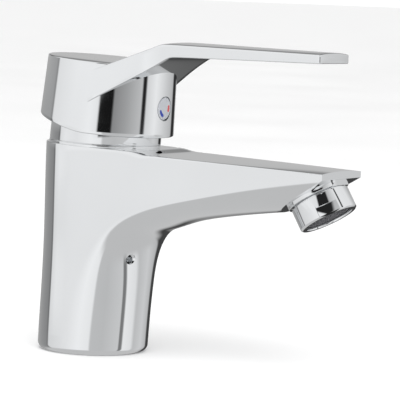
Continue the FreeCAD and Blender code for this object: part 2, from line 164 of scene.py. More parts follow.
def neck_matrix():
    """Local X, back and up of the cartridge axis, as a 4x4 matrix in metres."""
    across = Vector((1, 0, 0))
    back = NECK_AXIS.cross(across)
    rows = Matrix((across, back, NECK_AXIS)).transposed().to_4x4()
    return Matrix.Translation(NECK_POINT) @ rows


def outlet_matrix(tilt):
    """Local frame of the outlet: Z runs out of the spout, from its slanting under face."""
    return Matrix.Translation(OUTLET_CENTRE) @ Matrix.Rotation(math.pi - tilt, 4, "X")


def link(name, bm, smooth_angle=30.0):
    """Turns a bmesh into a linked object with smooth shading between sharp edges."""
    bmesh.ops.remove_doubles(bm, verts=bm.verts, dist=2e-6)
    bmesh.ops.recalc_face_normals(bm, faces=bm.faces)
    mesh = bpy.data.meshes.new(name)
    bm.to_mesh(mesh)
    bm.free()
    obj = bpy.data.objects.new(name, mesh)
    bpy.context.scene.collection.objects.link(obj)
    mark_smooth(mesh, smooth_angle)
    return obj


def mark_smooth(mesh, degrees):
    mesh.shade_smooth()
    mesh.set_sharp_from_angle(angle=math.radians(degrees))


def ease(share):
    """Smooth change from 0 to 1, held at both ends."""
    share = min(max(share, 0.0), 1.0)
    return share * share * (3 - 2 * share)


def quarter(steps, first=1):
    """Angles that divide a quarter turn, in radians."""
    return [math.pi / 2 * k / steps for k in range(first, steps + 1)]


def loop_verts(bm, points):
    return [bm.verts.new(p) for p in points]


def bridge(bm, first, second, closed=True):
    """Quads between two rows with the same number of vertices."""
    count = len(first)
    for i in range(count if closed else count - 1):
        j = (i + 1) % count
        bm.faces.new((first[i], first[j], second[j], second[i]))


def skin(bm, rows):
    """Closed skin over rows of vertices, with a face at each end."""
    for a, b in zip(rows, rows[1:]):
        bridge(bm, a, b)
    bm.faces.new(rows[0])
    bm.faces.new(rows[-1])


def lathe(bm, profile, matrix, segments=128, closed=True):
    """Turns (radius, height) pairs in millimetres round the matrix's Z axis."""
    rings = []
    for r, h in profile:
        ring = []
        for i in range(segments):
            a = 2 * math.pi * i / segments
            ring.append(matrix @ (Vector((r * math.cos(a), r * math.sin(a), h)) * MM))
        rings.append(loop_verts(bm, ring))
    if not closed:
        skin(bm, rings)
        return
    for a, b in zip(rings, rings[1:] + rings[:1]):
        bridge(bm, a, b)


def rounded(profile, radius, steps=4):
    """Rounds every corner of a closed (r, h) outline, sizes in millimetres."""
    count = len(profile)
    out = []
    for i in range(count):
        p = Vector(profile[i])
        to_prev = Vector(profile[i - 1]) - p
        to_next = Vector(profile[(i + 1) % count]) - p
        cut = min(radius, to_prev.length * 0.45, to_next.length * 0.45)
        a = p + to_prev.normalized() * cut
        b = p + to_next.normalized() * cut
        for k in range(steps + 1):
            t = k / steps
            out.append(tuple(a * (1 - t) ** 2 + p * 2 * t * (1 - t) + b * t * t))
    return out


def curve_point(controls, t):
    """Point on a clamped cubic B-spline, t from 0 to 1."""
    n = len(controls) - 1
    knots = [0.0] * 4 + [(i + 1) / (n - 2) for i in range(n - 3)] + [1.0] * 4
    t = min(max(t, 0.0), 1.0 - 1e-9)
    span = max(i for i in range(3, n + 1) if knots[i] <= t)
    d = [Vector(controls[span - 3 + j]) for j in range(4)]
    for r in range(1, 4):
        for j in range(3, r - 1, -1):
            low = knots[span - 3 + j]
            high = knots[span + 1 + j - r]
            w = (t - low) / (high - low)
            d[j] = d[j - 1] * (1 - w) + d[j] * w
    return d[3]


def apply_modifier(obj, mod):
    """Replaces the object's mesh by what its one modifier makes of it."""
    bpy.context.view_layer.update()
    graph = bpy.context.evaluated_depsgraph_get()
    mesh = bpy.data.meshes.new_from_object(obj.evaluated_get(graph))
    obj.modifiers.remove(mod)
    old = obj.data
    obj.data = mesh
    bpy.data.meshes.remove(old)


def apply_boolean(obj, tool, operation="DIFFERENCE"):
    """Cuts or joins with another object, which is then removed."""
    mod = obj.modifiers.new("cut", "BOOLEAN")
    mod.operation = operation
    mod.solver = "EXACT"
    mod.object = tool
    apply_modifier(obj, mod)
    bpy.data.objects.remove(tool)


def cylinder(radius, low, high, matrix, segments=64):
    """A plain cutting cylinder, millimetres in the matrix's frame."""
    bm = bmesh.new()
    lathe(bm, [(radius, low), (radius, high)], matrix, segments, closed=False)
    return link("tool", bm)


def finish_piece(obj, material, body, node):
    """Gives a piece its finish and its place in the assembly."""
    obj.data.materials.clear()
    obj.data.materials.append(material)
    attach(obj, body)
    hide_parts(node)


# Finishes ------------------------------------------------------------------


def new_material(name, colour, metallic, roughness):
    mat = bpy.data.materials.new(name)
    mat.use_nodes = True
    shader = mat.node_tree.nodes["Principled BSDF"]
    shader.inputs["Base Color"].default_value = (*colour, 1.0)
    shader.inputs["Metallic"].default_value = metallic
    shader.inputs["Roughness"].default_value = roughness
    return mat, shader


def object_noise(mat, scale, detail=3.0, stretch=(1, 1, 1)):
    """Noise in the piece's own coordinates."""
    nodes = mat.node_tree.nodes
    links = mat.node_tree.links
    coords = nodes.new("ShaderNodeTexCoord")
    mapping = nodes.new("ShaderNodeMapping")
    mapping.inputs["Scale"].default_value = stretch
    noise = nodes.new("ShaderNodeTexNoise")
    noise.inputs["Scale"].default_value = scale
    noise.inputs["Detail"].default_value = detail
    links.new(coords.outputs["Object"], mapping.inputs["Vector"])
    links.new(mapping.outputs["Vector"], noise.inputs["Vector"])
    return noise


def vary(shader, noise, socket, low, high):
    """Lets the noise move a socket between two values."""
    spread = shader.id_data.nodes.new("ShaderNodeMapRange")
    spread.inputs["From Min"].default_value = 0.3
    spread.inputs["From Max"].default_value = 0.7
    spread.inputs["To Min"].default_value = low
    spread.inputs["To Max"].default_value = high
    shader.id_data.links.new(noise.outputs["Fac"], spread.inputs["Value"])
    shader.id_data.links.new(spread.outputs["Result"], shader.inputs[socket])


def tint(shader, noise, dark, light):
    """Lets the noise mix two near colours."""
    ramp = shader.id_data.nodes.new("ShaderNodeValToRGB")
    ramp.color_ramp.elements[0].color = (*dark, 1)
    ramp.color_ramp.elements[0].position = 0.3
    ramp.color_ramp.elements[1].color = (*light, 1)
    ramp.color_ramp.elements[1].position = 0.7
    shader.id_data.links.new(noise.outputs["Fac"], ramp.inputs["Fac"])
    shader.id_data.links.new(ramp.outputs["Color"], shader.inputs["Base Color"])


def bump(shader, noise, strength, distance):
    node = shader.id_data.nodes.new("ShaderNodeBump")
    node.inputs["Strength"].default_value = strength
    node.inputs["Distance"].default_value = distance
    shader.id_data.links.new(noise.outputs["Fac"], node.inputs["Height"])
    shader.id_data.links.new(node.outputs["Normal"], shader.inputs["Normal"])


def chrome_finish():
    """Polished plate: a mirror with faint polishing haze and colour drift."""
    colour = tuple(bpy.context.scene.mixer_finish.chrome)
    mat, shader = new_material("polished_chrome", colour, 1.0, 0.03)
    vary(shader, object_noise(mat, 60.0, 4.0), "Roughness", 0.02, 0.055)
    tint(shader, object_noise(mat, 25.0), tuple(c * 0.97 for c in colour), colour)
    bump(shader, object_noise(mat, 30.0, 1.0), 0.04, 0.00005)
    return mat


def metal_finish(name, colour, roughness, stretch):
    """Turned or drawn metal with fine streaks."""
    mat, shader = new_material(name, colour, 1.0, roughness)
    streaks = object_noise(mat, 400.0, 4.0, stretch)
    vary(shader, streaks, "Roughness", roughness * 0.75, roughness * 1.35)
    tint(shader, object_noise(mat, 90.0), tuple(c * 0.85 for c in colour), colour)
    bump(shader, streaks, 0.15, 0.00003)
    return mat


def moulded_finish(name, colour, roughness, grain=0.12):
    """Moulded plastic or rubber with a fine grain and slight mottling."""
    mat, shader = new_material(name, colour, 0.0, roughness)
    grains = object_noise(mat, 1500.0, 2.0)
    vary(shader, object_noise(mat, 120.0), "Roughness", roughness * 0.85, min(roughness * 1.15, 1.0))
    tint(shader, object_noise(mat, 70.0), tuple(c * 0.92 for c in colour), colour)
    bump(shader, grains, grain, 0.00003)
    return mat


# Body ----------------------------------------------------------------------


# Where the raised seat round the neck is full, and where it has run out, along Y
SEAT_FRONT = -0.029
SEAT_END = -0.038

# The stretch of the top edge that softens beside the neck, and its largest rounding
SHOULDER_BACK = -0.024
SHOULDER_FRONT = -0.042
SHOULDER_RADIUS = 0.0012
CRISP_EDGE = 0.00025

# Crown of the top face at the tip, and where it starts
TOP_CROWN = 0.0007
CROWN_START = -0.050

# Slant of the section's ends near the tip, and the share of the spout where it starts
TIP_KEEL = math.radians(12.0)
KEEL_START = 0.45

# Groove for the gasket under the foot
GROOVE_OUTER = 0.0203
GROOVE_INNER = 0.0183
GROOVE_DEPTH = 0.0017

# Chain hole: turned from the front about Z, and its (radius, distance) outline in millimetres
CHAIN_HOLE_TURN = math.radians(23.5)
CHAIN_HOLE_HEIGHT = 0.042
CHAIN_HOLE = ((1.6, 19.0), (1.6, 26.5), (2.4, 27.4), (2.4, 40.0))

# Holes in the recess's roof, in millimetres: X, Y, radius, length (two hose inlets, one stud)
ROOF_HOLES = ((7.0, 3.5, 4.5, 12.0), (-7.0, 3.5, 4.5, 12.0), (0.0, -10.5, 3.4, 14.0))


def column_waist(z, size):
    """Factor by which the column is slimmer at a height."""
    share = min(max(z / size.top_height, 0.0), 1.0)
    return 1.0 - size.waist / size.base_radius * math.sin(math.pi * share) ** 2


def wall_half(y, size):
    """Half-width of the upright walls at a depth y."""
    if y >= 0:
        return math.sqrt(max(size.base_radius ** 2 - y * y, 0.0))
    return size.base_radius + (size.base_radius - size.tip_half_width) * y / -size.tip_y


def belly_line(size):
    """Lowest points along the column's front and the spout's underside."""
    foot = size.foot_fillet
    return [
        (0, -size.base_radius, foot), (0, -0.0246, 0.012), (0, -0.0254, 0.023), (0, -0.0262, 0.034),
        (0, -0.0272, 0.0435), (0, -0.0312, 0.0533), (0, -0.0405, 0.0560), (0, -0.0510, 0.0602),
        (0, -0.0660, 0.0632), (0, -0.0830, 0.0659), (0, -0.1010, 0.0682), (0, size.tip_y, 0.0706),
    ]


def crease_line(size):
    """Where the upright walls turn into the rounded belly."""
    foot = size.foot_fillet
    tip_top = size.top_height + math.tan(size.top_slope) * size.tip_y
    return [
        (0, 0.0, foot), (0, -0.0002, 0.012), (0, -0.0018, 0.023), (0, -0.0048, 0.034),
        (0, -0.0100, 0.0450), (0, -0.0185, 0.0560), (0, -0.0300, 0.0633), (0, -0.0440, 0.0675),
        (0, -0.0610, 0.0715), (0, -0.0800, 0.0760), (0, -0.1000, 0.0800), (0, size.tip_y, tip_top - 0.0024),
    ]


def top_z(y, size):
    """Height of the top face: it slopes, and is raised in a curve round the neck."""
    raised = ease((y - SEAT_END) / (SEAT_FRONT - SEAT_END))
    return size.top_height + math.tan(size.top_slope) * y + size.seat * raised


def shoulder_radius(y):
    """Rounding of the top edge: it softens beside the neck and is crisp along the spout."""
    if not SHOULDER_FRONT < y < SHOULDER_BACK:
        return 0.0
    share = (y - SHOULDER_BACK) / (SHOULDER_FRONT - SHOULDER_BACK)
    return SHOULDER_RADIUS * math.sin(math.pi * share) ** 2


def wall_column(bm, foot, size, rise):
    """Upright row of vertices from a foot vertex to the top face."""
    co = foot.co
    top = top_z(co.y, size)
    soft = shoulder_radius(co.y)
    blend = min(max((co.y + 0.030) / 0.030, 0.0), 1.0)
    column = [foot]
    for k in range(1, rise + 1):
        z = co.z + (top - soft - co.z) * k / rise
        scale = column_waist(z, size) / column_waist(co.z, size)
        x = co.x * (1 + (scale - 1) * blend)
        y = co.y
        if y > 0:
            y *= scale * (1 - size.back_lean * z / size.base_radius)
        column.append(bm.verts.new((x, y, z)))
    last = column[-1].co.copy()
    round_off = max(soft, CRISP_EDGE)
    if soft < CRISP_EDGE:
        column[-1].co.z -= CRISP_EDGE
        last = column[-1].co.copy()
    inward = Vector((-last.x, -max(last.y, 0.0), 0)).normalized()
    for a in quarter(5):
        step = inward * round_off * (1 - math.cos(a)) + Vector((0, 0, round_off * math.sin(a)))
        column.append(bm.verts.new(last + step))
    return column


def top_lane(bm, left, right, size):
    """Row of vertices across the top face, with a slight crown towards the tip."""
    lane = [left]
    crown = TOP_CROWN * ease((left.co.y - CROWN_START) / (size.tip_y - CROWN_START))
    steps = 12
    for k in range(1, steps):
        t = k / steps
        co = left.co.lerp(right.co, t)
        co.z += crown * (1 - (2 * t - 1) ** 2)
        lane.append(bm.verts.new(co))
    lane.append(right)
    return lane


def foot_ring(bm, loop, r, z):
    """Round ring of vertices, one for each vertex of the foot's outline."""
    ring = []
    for v in loop:
        flat = Vector((v.co.x, v.co.y, 0)).normalized()
        ring.append(bm.verts.new((flat.x * r, flat.y * r, z)))
    return ring


def build_body_skin(size):
    """Closed skin of the casting: belly, walls, back, foot and top face."""
    stations = 110
    across = 40
    rise = 18
    arc = 72
    bm = bmesh.new()
    belly = belly_line(size)
    crease = crease_line(size)
    rows = []
    left_edge = []
    right_edge = []
    for i in range(stations + 1):
        t = i / stations
        c = curve_point(crease, t)
        b = curve_point(belly, t)
        half = wall_half(c.y, size) * column_waist(c.z, size)
        keel = TIP_KEEL * max(0.0, (t - KEEL_START) / (1 - KEEL_START))
        row = []
        for k in range(across + 1):
            a = keel + (math.pi - 2 * keel) * k / across
            depth = (math.sin(a) - math.sin(keel)) / (1 - math.sin(keel))
            side = math.cos(a) / math.cos(keel)
            row.append(c + (b - c) * depth + Vector((-half * side, 0, 0)))
        rows.append(loop_verts(bm, row))
        left_edge.append(rows[-1][0])
        right_edge.append(rows[-1][-1])
    for a, b in zip(rows, rows[1:]):
        bridge(bm, a, b, closed=False)

    back_feet = []
    for i in range(1, arc):
        a = math.pi * i / arc
        back_feet.append(bm.verts.new((-size.base_radius * math.cos(a), size.base_radius * math.sin(a),
                                       size.foot_fillet)))
    feet = list(reversed(left_edge)) + back_feet + right_edge
    columns = [wall_column(bm, foot, size, rise) for foot in feet]
    for a, b in zip(columns, columns[1:]):
        bridge(bm, a, b, closed=False)
    outline = columns[0][::-1] + rows[-1][1:-1] + columns[-1]
    lanes = []
    for i in range(stations + 1):
        lanes.append(top_lane(bm, columns[i][-1], columns[-1 - i][-1], size))
    for a, b in zip(lanes, lanes[1:]):
        bridge(bm, a, b, closed=False)
    outline += list(reversed(lanes[0][1:-1]))
    bm.faces.new(outline)
    back_rim = [column[-1] for column in columns[stations:len(columns) - stations]]
    bm.faces.new(back_rim + list(reversed(lanes[-1][1:-1])))

    foot_loop = rows[0] + list(reversed(back_feet))
    underside = [(size.base_radius - size.foot_fillet * (1 - math.cos(a)),
                  size.foot_fillet * (1 - math.sin(a))) for a in quarter(8)]
    underside += [(GROOVE_OUTER, 0.0), (GROOVE_OUTER, GROOVE_DEPTH), (GROOVE_INNER, GROOVE_DEPTH),
                  (GROOVE_INNER, 0.0), (size.hose_recess, 0.0), (size.hose_recess, size.recess_depth)]
    last = foot_loop
    for r, z in underside:
        ring = foot_ring(bm, foot_loop, r, z)
        bridge(bm, last, ring)
        last = ring
    bm.faces.new(last)
    return bm


def cutting_block(matrix, low, high):
    """A plain cutting block between two corners, millimetres in the matrix's frame."""
    bm = bmesh.new()
    bmesh.ops.create_cube(bm, size=1.0)
    low = Vector(low)
    high = Vector(high)
    span = high - low
    middle = (low + high) / 2
    bm.transform(matrix @ Matrix.Translation(middle * MM) @ Matrix.Diagonal((*(span * MM), 1)))
    return link("tool", bm)


def build_body():
    size = bpy.context.scene.mixer_body
    outlet = bpy.context.scene.mixer_outlet
    place = outlet_matrix(outlet.tilt)
    bm = build_body_skin(size)
    body = link("cast_body", bm)
    apply_boolean(body, cutting_block(place, (-60, -60, 0), (60, 60, 60)))
    out = Vector((-math.sin(CHAIN_HOLE_TURN), -math.cos(CHAIN_HOLE_TURN), 0))
    turn = out.to_track_quat("Z", "Y").to_matrix().to_4x4()
    hole = Matrix.Translation(Vector((0, 0, CHAIN_HOLE_HEIGHT))) @ turn
    sink = bmesh.new()
    lathe(sink, CHAIN_HOLE, hole, 64, closed=False)
    apply_boolean(body, link("tool", sink))
    depth = size.recess_depth / MM
    for x, y, r, deep in ROOF_HOLES:
        port = Matrix.Translation(Vector((x * MM, y * MM, 0)))
        apply_boolean(body, cylinder(r, depth - 2.0, depth + deep, port, 48))
    boss = bmesh.new()
    land = outlet.land_radius / MM
    lathe(boss, rounded([(8.7, -0.3), (land, -0.3), (land, 2.0), (11.0, 2.0), (11.0, 8.0), (8.7, 8.0)], 0.3),
          place, 128)
    boss = link("outlet_boss", boss)
    tip = size.tip_y / MM + 0.3
    apply_boolean(boss, cutting_block(Matrix.Identity(4), (-30, tip - 30, 50), (30, tip, 110)))
    seat = bmesh.new()
    neck = neck_matrix()
    lathe(seat, [(17.6, -2.0), (21.2, -2.0), (21.2, 8.0), (19.5, 8.0), (19.5, 2.4), (17.6, 2.4)], neck, 96)
    seat = link("neck_seat", seat)
    join(body, [boss, seat])
    mark_smooth(body.data, 28)
    finish_piece(body, FINISH["chrome"], "body", "faucet_body")


def join(target, others):
    """Joins other objects' meshes into the target's."""
    bm = bmesh.new()
    for obj in [target] + others:
        bm.from_mesh(obj.data)
    bm.to_mesh(target.data)
    bm.free()
    for obj in others:
        bpy.data.objects.remove(obj)


# Neck ----------------------------------------------------------------------


def build_cover_ring():
    """Plain chrome band with a thin lip at its foot."""
    bm = bmesh.new()
    size = bpy.context.scene.mixer_body
    neck = neck_matrix()
    tilt = math.atan2(-NECK_AXIS.y, NECK_AXIS.z) - size.top_slope
    profile = [(21.3, -0.3), (24.3, -0.3), (24.3, 0.9), (24.05, 1.05), (24.05, 1.25), (24.2, 1.4),
               (24.0, 13.2), (15.0, 13.2), (15.0, 11.4), (21.3, 11.4)]
    lathe(bm, rounded(profile, 0.25, 3), Matrix.Identity(4), 160)
    for v in bm.verts:
        if v.co.z < 0.003:
            v.co.z += size.seat - v.co.y * math.tan(tilt)
    bm.transform(neck)
    ring = link("neck_band", bm)
    finish_piece(ring, FINISH["chrome"], "body", "cover_ring")


# Lever ---------------------------------------------------------------------


def rim_height(v, size):
    """Height of the cap's rim at a distance v behind the axis, millimetres."""
    bend = 45.0
    start = -8.0
    low = size.rim_front / MM
    reach = bend * math.sin(size.rim_slope)
    if v <= start:
        return low
    if v <= start + reach:
        return low + bend - math.sqrt(bend ** 2 - (v - start) ** 2)
    drop = bend * (1 - math.cos(size.rim_slope))
    return low + drop + (v - start - reach) * math.tan(size.rim_slope)


def cap_radius(h, size):
    return size.cap_radius / MM - size.cap_taper * (h - 15.0)


def button_place():
    """Frame of the button: Z points out of the cap's front, and the cap's radius there."""
    size = bpy.context.scene.mixer_lever
    lift = Matrix.Translation(Vector((0, 0, size.button_height)))
    front = neck_matrix() @ lift @ Matrix.Rotation(math.pi / 2, 4, "X")
    return front, cap_radius(size.button_height / MM, size)


def build_cap(size):
    """Cap without its hollow: tapered skirt, rising rim and flat top."""
    segments = 192
    levels = 24
    skirt_radius = 28.8
    top = size.cap_top / MM
    edge = 0.45
    rim_edge = 0.5
    neck = neck_matrix()
    bm = bmesh.new()
    rows = []

    def ring(radius_of, height_of):
        row = []
        for i in range(segments):
            a = 2 * math.pi * i / segments
            h = height_of(skirt_radius * math.sin(a))
            r = radius_of(h)
            row.append(neck @ Vector((r * math.cos(a) * MM, r * math.sin(a) * MM, h * MM)))
        rows.append(loop_verts(bm, row))

    ring(lambda h: 4.0, lambda v: 20.0)
    ring(lambda h: cap_radius(h, size) - 3.4, lambda v: rim_height(v, size) + 1.0)
    ring(lambda h: cap_radius(h, size) - 3.3, lambda v: rim_height(v, size))
    for a in quarter(4, 0):
        ring(lambda h, a=a: cap_radius(h, size) - rim_edge * (1 - math.sin(a)),
             lambda v, a=a: rim_height(v, size) + rim_edge * (1 - math.cos(a)))
    for k in range(1, levels):
        share = k / levels
        ring(lambda h: cap_radius(h, size),
             lambda v, s=share: (rim_height(v, size) + rim_edge) * (1 - s) + (top - edge) * s)
    for a in quarter(4, 0):
        ring(lambda h, a=a: cap_radius(top, size) - edge * (1 - math.cos(a)),
             lambda v, a=a: top - edge * (1 - math.sin(a)))
    skin(bm, rows)
    return link("lever_casting", bm)


# Straight edges of riser and blade in millimetres: depth, height there, rise for each step forward
RISER_TOP = (-19.7, 125.9, 0.428)
BLADE_TOP = (-42.3, 135.12, -0.0185)
RISER_UNDER = (-25.0, 117.5, 0.611)
BLADE_UNDER = (-45.0, 129.75, 0.005)


def edge_height(line, y):
    """Height of a straight edge at a depth, millimetres."""
    start, height, slope = line
    return height + slope * (start - y)


def soft_min(a, b, k):
    """Smaller of two heights, with a rounded change-over."""
    return 0.5 * (a + b - math.sqrt((a - b) ** 2 + k * k))


def blade_top(y):
    """Height of the blade's upper edge, millimetres."""
    return soft_min(edge_height(RISER_TOP, y), edge_height(BLADE_TOP, y), 0.5)


def blade_under(y):
    """Height of the blade's under face, millimetres."""
    return soft_min(edge_height(RISER_UNDER, y), edge_height(BLADE_UNDER, y), 0.8)


# Depth at which the blade has left the cap, and the flare towards it, in millimetres
CAP_LEFT = -16.0
FLARE_START = -41.95
FLARE_BEND = 9.67


def blade_half(y, size):
    """Half-width of riser and blade, millimetres: it leaves the round cap as a tangent."""
    tip = size.blade_tip_half / MM
    straight = tip + 0.0795 * (y - size.blade_tip_y / MM)
    flare = max(0.0, y - FLARE_START)
    bent = min(flare, FLARE_BEND)
    blade = straight + 0.0150 * bent ** 2 + 0.29 * (flare - bent)
    if y < CAP_LEFT:
        return blade
    cap = math.sqrt(max(28.3 ** 2 - (y + 5.1) ** 2, 0.0)) - 0.5 + 0.8 * ease((-9.0 - y) / 7.0)
    return min(blade, cap)


def blade_lean(y):
    """How much wider the riser is at its under edge: near the root it follows the cap's taper."""
    return 0.6 * ease((y + 34.0) / 16.0)


def blade_section(y, size, shrink=0.0):
    """Closed outline across the blade, with rounded edges and a crowned top."""
    half = blade_half(y, size) - shrink
    foot = half + blade_lean(y)
    top = blade_top(y) - shrink * 0.6
    low = blade_under(y) + shrink * 0.6
    crown = size.crown / MM * min(1.0, max(0.0, (-22.0 - y) / 12.0))
    edge = 0.35
    right = []
    for k in range(9):
        x = (half - edge) * k / 8
        right.append((x, top + crown * (1 - (x / half) ** 2)))
    for a in quarter(4):
        right.append((half - edge + edge * math.sin(a), top - edge + edge * math.cos(a)))
    for k in range(1, 9):
        share = k / 8
        right.append((half + (foot - half) * share, top - edge + (low + edge - top + edge) * share))
    for a in quarter(4):
        right.append((foot - edge + edge * math.cos(a), low + edge - edge * math.sin(a)))
    for k in range(1, 9):
        right.append(((foot - edge) * (1 - k / 8), low))
    left = [(-x, z) for x, z in reversed(right[1:-1])]
    return right + left


def build_blade(size):
    """Riser and blade as one lofted bar."""
    tip = size.blade_tip_y / MM
    end_edge = 0.6
    bend_end = -48.6
    bm = bmesh.new()
    stations = [-7.0 - 0.8 * i for i in range(53)]
    stations += [bend_end + (tip + end_edge - bend_end) * i / 40 for i in range(1, 41)]
    rows = []
    for y in stations:
        rows.append(loop_verts(bm, [(x * MM, y * MM, z * MM) for x, z in blade_section(y, size)]))
    for a in quarter(4):
        y = tip + end_edge - end_edge * math.sin(a)
        section = blade_section(y, size, end_edge * (1 - math.cos(a)))
        rows.append(loop_verts(bm, [(x * MM, y * MM, z * MM) for x, z in section]))
    skin(bm, rows)
    return link("blade", bm)


def build_handle():
    size = bpy.context.scene.mixer_lever
    neck = neck_matrix()
    cap = build_cap(size)
    apply_boolean(cap, build_blade(size), "UNION")
    roof = size.cap_top / MM - 3.0
    wall = size.cap_wall / MM
    hollow = bmesh.new()
    lathe(hollow, [(cap_radius(-2, size) - wall, -2.0), (cap_radius(roof, size) - wall, roof)], neck, 128,
          closed=False)
    apply_boolean(cap, link("tool", hollow))
    front, reach = button_place()
    button = size.button_radius / MM
    apply_boolean(cap, cylinder(button + 0.35, reach - 2.3, reach + 5, front))
    boss = bmesh.new()
    lathe(boss, rounded([(6.6, 18.0), (9.5, 18.0), (9.5, roof + 0.5), (6.6, roof + 0.5)], 0.3), neck, 64)
    boss = link("lever_boss", boss)
    join(cap, [boss])
    mark_smooth(cap.data, 28)
    finish_piece(cap, FINISH["chrome"], "lever", "handle")


def build_button():
    """Satin button with a shallow dome and a turned-down edge."""
    size = bpy.context.scene.mixer_lever
    front, reach = button_place()
    bm = bmesh.new()
    r = size.button_radius / MM
    profile = [(0.05, reach - 2.2), (r - 0.1, reach - 2.2), (r - 0.1, reach - 0.5)]
    for a in quarter(8, 0):
        profile.append((r - 0.45 + 0.35 * math.cos(a), reach - 0.5 + 0.28 * math.sin(a)))
    profile.append((0.05, reach - 0.2))
    lathe(bm, profile, front, 96, closed=False)
    button = link("temperature_button", bm)
    finish_piece(button, FINISH["button"], "lever", "indicator_plug")


# The printed arcs: middle radius, half-width, and how far they lie below the cap's radius
MARK_RADIUS = 3.12
MARK_HALF = 0.68
MARK_DROP = 0.19


def build_mark(name, start, end, finish, node):
    """A printed arc, standing a hair above the button."""
    front, reach = button_place()
    level = (reach - MARK_DROP) * MM
    bm = bmesh.new()
    steps = 32
    rows = []
    for k in range(steps + 1):
        a = math.radians(start + (end - start) * k / steps)
        share = 2 * k / steps - 1
        half = MARK_HALF * math.sqrt(max(1 - abs(share) ** 8, 0.02))
        inner = MARK_RADIUS - half
        outer = MARK_RADIUS + half
        row = []
        for r, h in ((inner, -0.05), (outer, -0.05), (outer, 0.03), (inner, 0.03)):
            row.append(front @ Vector((r * math.cos(a) * MM, r * math.sin(a) * MM, level + h * MM)))
        rows.append(loop_verts(bm, row))
    skin(bm, rows)
    mark = link(name, bm)
    finish_piece(mark, FINISH[finish], "lever", node)


# Outlet --------------------------------------------------------------------


def build_collar():
    """Aerator collar with two wrench flats and a bright rolled rim."""
    outlet = bpy.context.scene.mixer_outlet
    place = outlet_matrix(outlet.tilt)
    r = outlet.collar_radius / MM
    end = outlet.collar_end / MM
    bm = bmesh.new()
    profile = [(11.05, 2.75), (r, 2.75), (r, end - 0.6), (r - 0.6, end), (10.3, end), (10.2, end - 0.8),
               (10.2, 10.2), (11.05, 10.2)]
    lathe(bm, rounded(profile, 0.2, 3), place, 160)
    collar = link("collar", bm)
    for side in (-1, 1):
        flat = (side * (r - 0.85), side * (r + 3.0))
        turn = place @ Matrix.Rotation(-outlet.flat_turn, 4, "Z")
        tool = cutting_block(turn, (min(flat), -6.0, end - 4.6), (max(flat), 6.0, end + 2.0))
        apply_boolean(collar, tool)
    mark_smooth(collar.data, 28)
    finish_piece(collar, FINISH["chrome"], "body", "aerator_collar")


def grid_tree():
    """Geometry nodes: radial ribs round a circle, for the outlet grid."""
    tree = bpy.data.node_groups.new("Outlet ribs", "GeometryNodeTree")
    tree.is_modifier = True
    face = tree.interface
    face.new_socket("Geometry", in_out="INPUT", socket_type="NodeSocketGeometry")
    for name, kind in (("Count", "NodeSocketInt"), ("Radius", "NodeSocketFloat"),
                       ("Rib length", "NodeSocketFloat"), ("Rib width", "NodeSocketFloat"),
                       ("Rib height", "NodeSocketFloat"), ("Rib level", "NodeSocketFloat"),
                       ("Finish", "NodeSocketMaterial")):
        face.new_socket(name, in_out="INPUT", socket_type=kind)
    face.new_socket("Geometry", in_out="OUTPUT", socket_type="NodeSocketGeometry")
    nodes = tree.nodes
    given = nodes.new("NodeGroupInput").outputs
    circle = nodes.new("GeometryNodeMeshCircle")
    rib = nodes.new("GeometryNodeMeshCube")
    size = nodes.new("ShaderNodeCombineXYZ")
    place = nodes.new("GeometryNodeInstanceOnPoints")
    where = nodes.new("GeometryNodeInputPosition")
    align = nodes.new("FunctionNodeAlignEulerToVector")
    align.axis = "X"
    align.pivot_axis = "Z"
    level = nodes.new("ShaderNodeCombineXYZ")
    lift = nodes.new("GeometryNodeTransform")
    merge = nodes.new("GeometryNodeJoinGeometry")
    real = nodes.new("GeometryNodeRealizeInstances")
    paint = nodes.new("GeometryNodeSetMaterial")
    end = nodes.new("NodeGroupOutput")
    for source, target in (
        (given["Count"], circle.inputs["Vertices"]),
        (given["Radius"], circle.inputs["Radius"]),
        (given["Rib length"], size.inputs["X"]),
        (given["Rib width"], size.inputs["Y"]),
        (given["Rib height"], size.inputs["Z"]),
        (size.outputs["Vector"], rib.inputs["Size"]),
        (circle.outputs["Mesh"], place.inputs["Points"]),
        (rib.outputs["Mesh"], place.inputs["Instance"]),
        (where.outputs["Position"], align.inputs["Vector"]),
        (align.outputs["Rotation"], place.inputs["Rotation"]),
        (given["Rib level"], level.inputs["Z"]),
        (level.outputs["Vector"], lift.inputs["Translation"]),
        (place.outputs["Instances"], lift.inputs["Geometry"]),
        (given["Geometry"], merge.inputs["Geometry"]),
        (lift.outputs["Geometry"], merge.inputs["Geometry"]),
        (merge.outputs["Geometry"], real.inputs["Geometry"]),
        (real.outputs["Geometry"], paint.inputs["Geometry"]),
        (given["Finish"], paint.inputs["Material"]),
        (paint.outputs["Geometry"], end.inputs["Geometry"]),
    ):
        tree.links.new(source, target)
    return tree


# Rings of the outlet grid: inner and outer radius, and the heights they reach over, in millimetres
GRID_RINGS = ((9.0, 9.6), (7.3, 7.75), (5.6, 6.05), (3.9, 4.35), (2.2, 2.65), (0.5, 0.95))
GRID_LOW = 10.2
GRID_HIGH = 10.95


